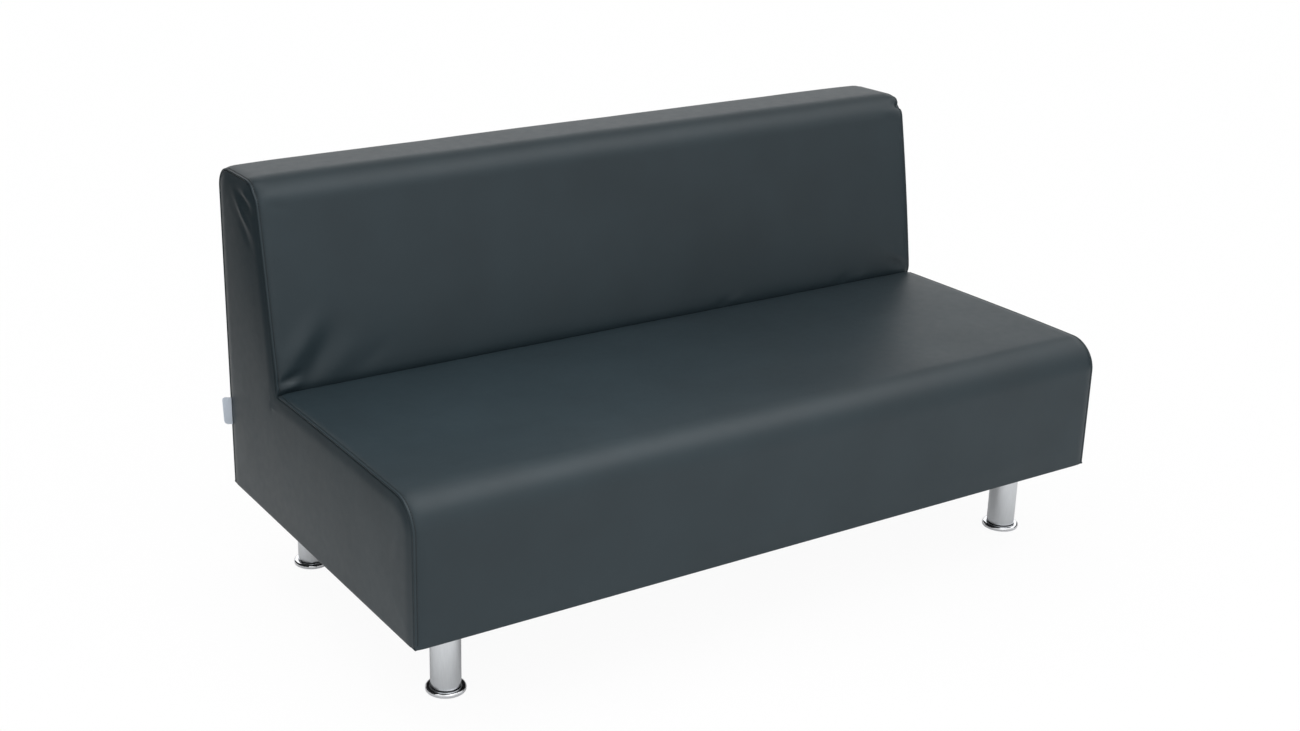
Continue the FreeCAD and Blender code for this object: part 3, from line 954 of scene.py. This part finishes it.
class SOFA_OT_tab(bpy.types.Operator):
    """Fold the bare woven tab that is caught in the rear seam of the left side"""

    bl_idname = "sofa.tab"
    bl_label = "Tab"

    def execute(self, context):
        low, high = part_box("side_tab")
        reach = sewing().tab_reach
        width = sewing().tab_width
        # Half the fold's opening, the curl of its far edge and the cloth's thickness
        opening, curl, thickness = 0.00084, 0.003, 0.00035
        # The tab's turn in degrees, and its seam's place in from the left side and the rear
        turn, from_side, from_rear = -30, 0.0026, 0.0062
        bpy.ops.mesh.primitive_grid_add(x_subdivisions=28, y_subdivisions=22, size=1)
        tab = bpy.context.object
        tab.name = "sewn_tab"
        for vertex in tab.data.vertices:
            around = vertex.co.x * math.pi
            share = vertex.co.y
            # The far edge leans a little and has rounded corners
            lean = 0.92 + 0.16 * share - 0.3 * abs(2 * share) ** 14
            out = lean * math.cos(around) ** 0.55
            side = opening * math.sin(around) + curl * out**2 * math.sin(2.4 * share + 0.5)
            vertex.co = (-reach * out, side, share * width)
        modified(tab, "SOLIDIFY", thickness=thickness, offset=0)
        tab.rotation_euler = Euler((0, 0, math.radians(turn)))
        tab.location = (-HALF + from_side, REAR - from_rear, (low.z + high.z) / 2)
        placed(tab)
        smooth(tab, 50)
        colour = colours().tab
        material = woven("tab_weave", colour, threads=2600, roughness=0.8, distance=0.0001)
        finished(tab, material, "tab_cloth", SOFA, "side_tab")
        return {"FINISHED"}


def under_covers(point):
    """The point, pushed in where it is too close under a cover or pokes through it."""
    room = shape().foam_room
    search = 0.03
    for surface in cover_surfaces:
        spot, normal, _, _ = surface.find_nearest(point, search)
        if spot is None:
            continue
        depth = (spot - point).dot(normal)
        if depth < room:
            point = point + normal * (depth - room)
    return point


def softened(node, name, voxel, shrink):
    """A foam block made from the node's form, its edges rounded and its surface uneven.

    Shrink is the share by which it is drawn in, give or take its slow waves.
    """
    source = frame["nodes"][node]
    piece = bpy.data.objects.new(name, source.data.copy())
    bpy.context.scene.collection.objects.link(piece)
    outward(piece)
    low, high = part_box(node)
    thin = min(high - low)
    modified(piece, "REMESH", mode="VOXEL", voxel_size=min(voxel, thin / 3))
    modified(piece, "SMOOTH", factor=0.5, iterations=3)
    points = np.empty(len(piece.data.vertices) * 3)
    piece.data.vertices.foreach_get("co", points)
    points = points.reshape(-1, 3)
    centre = np.array((low + high) / 2)
    waves = ripples(points[:, 0] + points[:, 2], points[:, 1], 41)
    points += (centre - points) * (shrink * (1 + 0.4 * waves))[:, None]
    for point in points:
        point[:] = under_covers(under_covers(Vector(point)))
    piece.data.vertices.foreach_set("co", points.ravel())
    piece.data.update()
    return smooth(piece)


class SOFA_OT_foam(bpy.types.Operator):
    """Cut the foam of seat, backrest and sides with softened edges"""

    bl_idname = "sofa.foam"
    bl_label = "Foam"

    def execute(self, context):
        foam = open_cell_foam()
        for node in sorted(frame["nodes"]):
            if "foam" not in node:
                continue
            name = node.replace("foam", "padding")
            block = softened(node, name, voxel=0.012, shrink=0.002)
            finished(block, foam, "foam", SOFA, node)
        return {"FINISHED"}


class SOFA_OT_legs(bpy.types.Operator):
    """Turn the leg tubes, the chromed discs and the threaded studs"""

    bl_idname = "sofa.legs"
    bl_label = "Legs and feet"

    def execute(self, context):
        metal, chrome = satin_metal(), polished_chrome()
        zinc, plastic = zinc_plate(), moulded_plastic()
        for corner in CORNERS:
            foot = "foot_" + corner
            finished(leg_tube(corner), metal, "satin_metal", SOFA, "leg_tube_" + corner)
            finished(foot_disc(corner), chrome, "chrome", foot, "foot_disc_" + corner)
            finished(foot_stud(corner), zinc, "zinc_steel", foot, "foot_stud_" + corner)
            paint("foot_glide_" + corner, plastic)
        for node in ("leg_tops", "leg_bolts", "leg_nuts"):
            paint(node, zinc)
        paint("leg_inserts", plastic)
        return {"FINISHED"}


def paint(node, material):
    """Gives a carried-over node a better material."""
    for place in frame["nodes"][node].material_slots:
        place.material = material


def round_node(node):
    """The lower and upper height, the radius and the axis of an upright round node."""
    low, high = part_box(node)
    return low.z, high.z, (high.x - low.x) / 2, (low + high) / 2


def stood(piece, axis):
    """The piece, made at the origin, moved to its axis."""
    piece.location = (axis.x, axis.y, 0)
    placed(piece)
    return outward(piece)


def turned(name, profile, axis, steps=96):
    """A solid turned on an upright axis from a closed profile of (radius, height) points."""
    bpy.ops.mesh.primitive_circle_add(vertices=len(profile), fill_type="NOTHING")
    piece = bpy.context.object
    piece.name = name
    for vertex, (radius, height) in zip(piece.data.vertices, profile):
        vertex.co = (radius, 0, height)
    bpy.ops.object.mode_set(mode="EDIT")
    bpy.ops.mesh.select_all(action="SELECT")
    bpy.ops.mesh.spin(
        steps=steps, angle=2 * math.pi, center=(0, 0, 0), axis=(0, 0, 1), use_auto_merge=True
    )
    bpy.ops.object.mode_set(mode="OBJECT")
    return stood(piece, axis)


def arc_points(radius, height, curve, start, end, count):
    """Points of a profile on a small arc, angles in degrees."""
    turns = [math.radians(start + (end - start) * k / count) for k in range(count + 1)]
    return [(radius + curve * math.cos(t), height + curve * math.sin(t)) for t in turns]


def leg_tube(corner):
    """The open tube, its outer edges rounded."""
    low, high, outer, axis = round_node("leg_tube_" + corner)
    wall = 0.002
    rim, lip = 0.0014, 0.0006
    profile = (
        arc_points(outer - rim, low + rim, rim, -90, 0, 6)
        + arc_points(outer - lip, high - lip, lip, 0, 90, 4)
        + [(outer - wall, high), (outer - wall, low)]
    )
    return smooth(turned("tube_" + corner, profile, axis), 40)


def foot_disc(corner):
    """The disc with its rounded upper rim, its slightly sunk top and its small lower edge."""
    low, high, outer, axis = round_node("foot_disc_" + corner)
    crown, foot, undercut = 0.0042, 0.0010, 0.0004
    # How far in the top's flat ring ends and its sunk middle begins, and how deep that lies
    ring, middle, sunk = 0.0068, 0.0076, 0.0003
    profile = (
        [(0.0, low)]
        + arc_points(outer - foot - undercut, low + foot, foot, -90, 0, 4)
        + arc_points(outer - crown, high - crown, crown, -8, 90, 12)
        + [(outer - ring, high), (outer - middle, high - sunk), (0.0, high - sunk)]
    )
    return smooth(turned("disc_" + corner, profile, axis), 40)


def foot_stud(corner):
    """The stud with its thread, narrowed at its tip, on the disc."""
    low, high, radius, axis = round_node("foot_stud_" + corner)
    tall = high - low
    pitch, depth, steepness = 0.0015, 0.0009, 1.35
    # Height in which the tip would narrow to a point, and its share of the radius at the top
    narrowing, tip = 0.0012, 0.55
    rows = int(tall / pitch * 5)
    bpy.ops.mesh.primitive_cylinder_add(vertices=20, radius=radius, depth=1, end_fill_type="NGON")
    piece = bpy.context.object
    piece.name = "stud_" + corner
    bpy.ops.object.mode_set(mode="EDIT")
    bpy.ops.mesh.select_all(action="DESELECT")
    bpy.ops.object.mode_set(mode="OBJECT")
    for edge in piece.data.edges:
        a, b = (piece.data.vertices[v].co.z for v in edge.vertices)
        edge.select = abs(a - b) > 0.5
    bpy.ops.object.mode_set(mode="EDIT")
    bpy.ops.mesh.subdivide_edgering(number_cuts=rows, interpolation="LINEAR")
    bpy.ops.object.mode_set(mode="OBJECT")
    for vertex in piece.data.vertices:
        height = (vertex.co.z + 0.5) * tall
        turn = math.atan2(vertex.co.y, vertex.co.x)
        phase = (height / pitch - turn / (2 * math.pi)) % 1
        flank = abs(2 * phase - 1)
        taper = min(1, (tall - height) / narrowing + tip)
        size = (radius - depth * min(1, steepness * flank)) * taper
        vertex.co = (size * math.cos(turn), size * math.sin(turn), low + height)
    return smooth(stood(piece, axis), 60)


class SOFA_OT_frame_finish(bpy.types.Operator):
    """Give the wooden frame, its dowels and the rear panel their materials"""

    bl_idname = "sofa.frame_finish"
    bl_label = "Frame"

    def execute(self, context):
        finishes = {
            "plywood": sawn_wood("birch_plywood", colours().plywood, grain=55, plies=240),
            "beech": sawn_wood("sawn_beech", colours().beech, grain=120),
            "hardboard": pressed_board(),
        }
        for row in frame["record"]["subparts"]:
            if row["material_slot"] in finishes:
                paint(row["node"], finishes[row["material_slot"]])
        return {"FINISHED"}


def separate_boxes(node):
    """The corners of each separate solid of a node."""
    mesh = frame["nodes"][node].data
    copy = bpy.data.objects.new(node + "_copy", mesh.copy())
    bpy.context.scene.collection.objects.link(copy)
    outward(copy)
    bpy.ops.object.mode_set(mode="EDIT")
    bpy.ops.mesh.select_all(action="SELECT")
    bpy.ops.mesh.separate(type="LOOSE")
    bpy.ops.object.mode_set(mode="OBJECT")
    boxes = []
    for part in list(bpy.context.selected_objects):
        spots = np.array([v.co for v in part.data.vertices])
        boxes.append((Vector(spots.min(axis=0)), Vector(spots.max(axis=0))))
        bpy.data.objects.remove(part)
    return boxes


def strap(corner, along, across, thick, sag):
    """A strap with rounded edges, from its corner along and across, that sags in the middle."""
    out = along.cross(across).normalized()
    steps = max(12, round(along.length / 0.02))
    # Places round the strap, as shares of its width and its thickness
    section = ((0.0, 0.5), (0.012, 0.85), (0.04, 1.0), (0.5, 1.04), (0.96, 1.0), (0.988, 0.85))
    section += ((1.0, 0.5), (0.988, 0.15), (0.96, 0.0), (0.5, 0.04), (0.04, 0.0), (0.012, 0.15))
    points, faces = [], []
    for step in range(steps + 1):
        share = step / steps
        drop = out * (-sag * math.sin(math.pi * share) ** 2)
        for side, level in section:
            points.append(corner + along * share + across * side + out * (thick * level) + drop)
    count = len(section)
    for step in range(steps):
        for k in range(count):
            j = (k + 1) % count
            a, b = step * count, (step + 1) * count
            faces.append((a + k, a + j, b + j, b + k))
    faces.append(tuple(reversed(range(count))))
    faces.append(tuple(steps * count + k for k in range(count)))
    return points, faces


class SOFA_OT_webbing(bpy.types.Operator):
    """Lay the straps of seat and backrest"""

    bl_idname = "sofa.webbing"
    bl_label = "Webbing"

    def execute(self, context):
        colour = colours().webbing
        material = woven("webbing_weave", colour, threads=900, roughness=0.75, distance=0.0003)
        for node, name, rest in (
            ("seat_straps_cross", "seat_webbing_cross", "front_rail"),
            ("seat_straps_long", "seat_webbing_long", "seat_webbing_cross"),
            ("back_straps", "back_webbing", "cheek_left"),
        ):
            points, faces = [], []
            boxes = separate_boxes(node)
            for low, high in boxes:
                spots, strips = webbing_strap(node, low, high)
                faces += [tuple(len(points) + v for v in strip) for strip in strips]
                points += spots
            piece = smooth(outward(from_points(name, points, faces)), 50)
            finished(piece, material, "webbing", SOFA, node)
            low, high = boxes[0]
        return {"FINISHED"}


def webbing_strap(node, low, high):
    """The strap that fills this box of the node. The seat's cross straps sag most."""
    size = high - low
    corner = Vector(low)
    along, across = Vector((size.x, 0, 0)), Vector((0, size.y, 0))
    thick, sag = size.z, 0.001
    if node == "back_straps":
        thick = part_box("seat_straps_long")[1].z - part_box("seat_straps_long")[0].z
        corner = low + Vector((0, thick, 0))
        across = Vector((0, size.y - thick, size.z))
    elif size.y > size.x:
        sag = 0.002
        corner.x = high.x
        along, across = across, -along
    return strap(corner, along, across, thick, sag)


class SOFA_OT_dust_cloth(bpy.types.Operator):
    """Stretch the dust cloth under the frame"""

    bl_idname = "sofa.dust_cloth"
    bl_label = "Dust cloth"

    def execute(self, context):
        low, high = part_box("dust_cover")
        width, depth = high.x - low.x, high.y - low.y
        # Rise over the node's lower face, height of the gathers and depth of the sag
        rise, gather, sag = 0.0006, 0.0006, 0.0022
        # Radians of the gathers to the metre, and how far in they fade and the sag sets in
        waviness, gather_fade, sag_fade = 190, 0.02, 0.09
        bpy.ops.mesh.primitive_grid_add(x_subdivisions=172, y_subdivisions=88, size=1)
        cloth = bpy.context.object
        cloth.name = "dust_cloth"
        for vertex in cloth.data.vertices:
            x, y = vertex.co.x * width, vertex.co.y * depth
            edge = min(width / 2 - abs(x), depth / 2 - abs(y))
            waves = gather * math.sin(x * waviness) * math.sin(y * waviness)
            waves *= math.exp(-edge / gather_fade)
            hang = sag * (1 - math.exp(-edge / sag_fade))
            vertex.co = (x, y, low.z + rise - hang + waves)
        modified(cloth, "SOLIDIFY", thickness=0.0004, offset=0)
        smooth(cloth, 60)
        colour = colours().dust_cloth
        material = woven("dust_cloth_felt", colour, threads=1500, roughness=0.95, distance=0.0002)
        finished(cloth, material, "dust_cloth", SOFA, "dust_cover")
        return {"FINISHED"}


class SOFA_OT_stage(bpy.types.Operator):
    """Set up the camera, the pale floor and the soft studio light"""

    bl_idname = "sofa.stage"
    bl_label = "Stage"

    def execute(self, context):
        scene = context.scene
        scene.view_settings.view_transform = "Standard"
        photo_camera(scene)
        white_world(scene)
        floor = pale_floor()
        soft_sky(toward=(0.12, 0.2, 0.97), strength=1.5)
        # Place, target, size and power of each lamp
        settings = {
            "front_light": ((-1.0, -3.8, 1.9), (0, 0, 0.3), (3.0, 2.0), 11),
            "low_light": ((0.1, -2.3, 0.4), (0, -0.36, 0.24), (2.6, 0.7), 9),
            "over_light": ((0.5, -1.0, 2.4), (0.3, -0.4, 0.4), (2.7, 1.4), 19),
            "seat_light": ((-0.46, -0.16, 1.2), (-0.46, -0.17, 0.38), (0.8, 0.4), 1.0),
        }
        lamps = {name: soft_light(name, *values) for name, values in settings.items()}
        lamps["low_light"].visible_glossy = False
        lamps["over_light"].visible_diffuse = False
        lamps["seat_light"].visible_glossy = False
        lamps["seat_light"].data.spread = math.radians(80)
        studio_card("left_card", (-1.17, 1.15, 0.8), (2.9, 1.6), (90, 0, 90), 0.0)
        studio_card("right_card", (2.1, -0.4, 0.35), (1.8, 0.7), (90, 0, 90), 0.0)
        studio_card("back_card", (1.0, 1.03, 2.36), (5.0, 1.66), (129.4, 0, 0), 0.45)
        return {"FINISHED"}


def photo_camera(scene):
    """The camera that sees the sofa as the photograph does."""
    wide, high = 1300, 731
    focal = 1764.77
    middle = (505.48, 328.2)
    down, turn = 19.13, -30.07
    data = bpy.data.cameras.new("photo_camera")
    data.sensor_width = 36
    data.lens = data.sensor_width * focal / wide
    data.shift_x = (wide / 2 - middle[0]) / wide
    data.shift_y = (middle[1] - high / 2) / wide
    data.clip_end = 100
    camera = bpy.data.objects.new("photo_camera", data)
    camera.location = (-1.7450, -2.4334, 1.4559)
    camera.rotation_euler = Euler((math.radians(90 - down), 0, math.radians(turn)))
    scene.collection.objects.link(camera)
    scene.camera = camera


def white_world(scene):
    """A world that is white to look at and in reflections, and lights the object plainly."""
    world = bpy.data.worlds.new("white_world")
    world.use_nodes = True
    nodes, links = world.node_tree.nodes, world.node_tree.links
    nodes.clear()
    path = nodes.new("ShaderNodeLightPath").outputs
    seen = path["Is Camera Ray"]
    for ray in ("Is Glossy Ray", "Is Transmission Ray"):
        either = nodes.new("ShaderNodeMath")
        either.operation = "MAXIMUM"
        links.new(seen, either.inputs[0])
        links.new(path[ray], either.inputs[1])
        seen = either.outputs["Value"]
    strength = nodes.new("ShaderNodeMapRange")
    strength.inputs["To Min"].default_value = 0.6
    strength.inputs["To Max"].default_value = 1.0
    links.new(seen, strength.inputs["Value"])
    background = nodes.new("ShaderNodeBackground")
    background.inputs["Color"].default_value = (1, 1, 1, 1)
    links.new(strength.outputs["Result"], background.inputs["Strength"])
    output = nodes.new("ShaderNodeOutputWorld")
    links.new(background.outputs["Background"], output.inputs["Surface"])
    scene.world = world


def pale_floor():
    """The floor, that lets the camera see the white world but for the sofa's soft shadow.

    A foot that is screwed out goes below it, because a pose leaves the body in place.
    """
    bpy.ops.mesh.primitive_plane_add(size=40)
    floor = bpy.context.object
    floor.name = "floor"
    pale = (0.9, 0.9, 0.9)
    finish = Finish("floor_paint", Base_Color=pale, Roughness=0.9, Specular_IOR_Level=0.0)
    nodes, links = finish.nodes, finish.links
    path = nodes.new("ShaderNodeLightPath").outputs
    surface = finish.shader.outputs["BSDF"]
    rays = (("Is Glossy Ray", 0.25, "Emission"), ("Is Camera Ray", 0.95, "BsdfTransparent"))
    for ray, share, kind in rays:
        mix = nodes.new("ShaderNodeMixShader")
        links.new(finish.maths("MULTIPLY", path[ray], share), mix.inputs["Fac"])
        links.new(surface, mix.inputs[1])
        links.new(nodes.new("ShaderNode" + kind).outputs[0], mix.inputs[2])
        surface = mix.outputs["Shader"]
    output = next(n for n in nodes if n.type == "OUTPUT_MATERIAL")
    links.new(surface, output.inputs["Surface"])
    floor.data.materials.append(finish.material)
    return floor


def soft_sky(toward, strength):
    """A very wide sun, like an overcast sky, that shines down from this way."""
    data = bpy.data.lights.new("soft_sky", "SUN")
    data.angle = math.radians(110)
    data.energy = strength
    lamp = bpy.data.objects.new("soft_sky", data)
    lamp.rotation_euler = (-Vector(toward)).to_track_quat("-Z", "Y").to_euler()
    bpy.context.scene.collection.objects.link(lamp)


def studio_card(name, place, size, turn, glow):
    """A dark or dim card round the sofa, turned in degrees, that only shows in its reflections."""
    bpy.ops.mesh.primitive_plane_add(size=1)
    card = bpy.context.object
    card.name = name
    card.location = place
    card.rotation_euler = Euler([math.radians(angle) for angle in turn])
    card.scale = (size[0], size[1], 1)
    placed(card)
    for ray in ("camera", "diffuse", "shadow", "transmission"):
        setattr(card, "visible_" + ray, False)
    dark = {"Base_Color": (0.02, 0.02, 0.02), "Roughness": 1.0, "Specular_IOR_Level": 0.0}
    finish = Finish(name + "_cloth", **dark, Emission_Strength=glow)
    card.data.materials.append(finish.material)
    return card


def soft_light(name, place, target, size, power):
    """A large rectangular lamp at a place that looks at a target."""
    data = bpy.data.lights.new(name, "AREA")
    data.shape = "RECTANGLE"
    data.size, data.size_y = size
    data.energy = power
    lamp = bpy.data.objects.new(name, data)
    lamp.location = place
    lamp.rotation_euler = (Vector(target) - Vector(place)).to_track_quat("-Z", "Y").to_euler()
    lamp.visible_camera = False
    bpy.context.scene.collection.objects.link(lamp)
    return lamp


class SOFA_PT_panel(bpy.types.Panel):
    """Lists the sofa's steps and sizes"""

    bl_label = "Sofa module"
    bl_idname = "SOFA_PT_panel"
    bl_space_type = "VIEW_3D"
    bl_region_type = "UI"
    bl_category = "Sofa"

    def draw(self, context):
        for operator in OPERATORS:
            self.layout.operator(operator.bl_idname)
        for group in (shape(), sewing(), colours()):
            box = self.layout.box()
            for key in group.__annotations__:
                box.prop(group, key)


GROUPS = (SofaShape, SofaSewing, SofaColours)
OPERATORS = (
    SOFA_OT_stage,
    SOFA_OT_covers,
    SOFA_OT_stitching,
    SOFA_OT_tab,
    SOFA_OT_foam,
    SOFA_OT_webbing,
    SOFA_OT_frame_finish,
    SOFA_OT_dust_cloth,
    SOFA_OT_legs,
)


def register():
    """Registers every class, and gives the scene its sizes and colours."""
    for item in (*GROUPS, *OPERATORS, SOFA_PT_panel):
        bpy.utils.register_class(item)
    bpy.types.Scene.sofa_shape = bpy.props.PointerProperty(type=SofaShape)
    bpy.types.Scene.sofa_sewing = bpy.props.PointerProperty(type=SofaSewing)
    bpy.types.Scene.sofa_colours = bpy.props.PointerProperty(type=SofaColours)


def unregister():
    """Takes away what register added."""
    for name in ("sofa_colours", "sofa_sewing", "sofa_shape"):
        delattr(bpy.types.Scene, name)
    for item in (SOFA_PT_panel, *reversed(OPERATORS), *reversed(GROUPS)):
        bpy.utils.unregister_class(item)


def main():
    """Makes the sofa and its stage step by step."""
    register()
    for operator in OPERATORS:
        step = getattr(bpy.ops.sofa, operator.bl_idname.split(".")[1])
        if step() != {"FINISHED"}:
            raise RuntimeError(operator.bl_label + " did not finish")


if __name__ == "__main__":
    main()
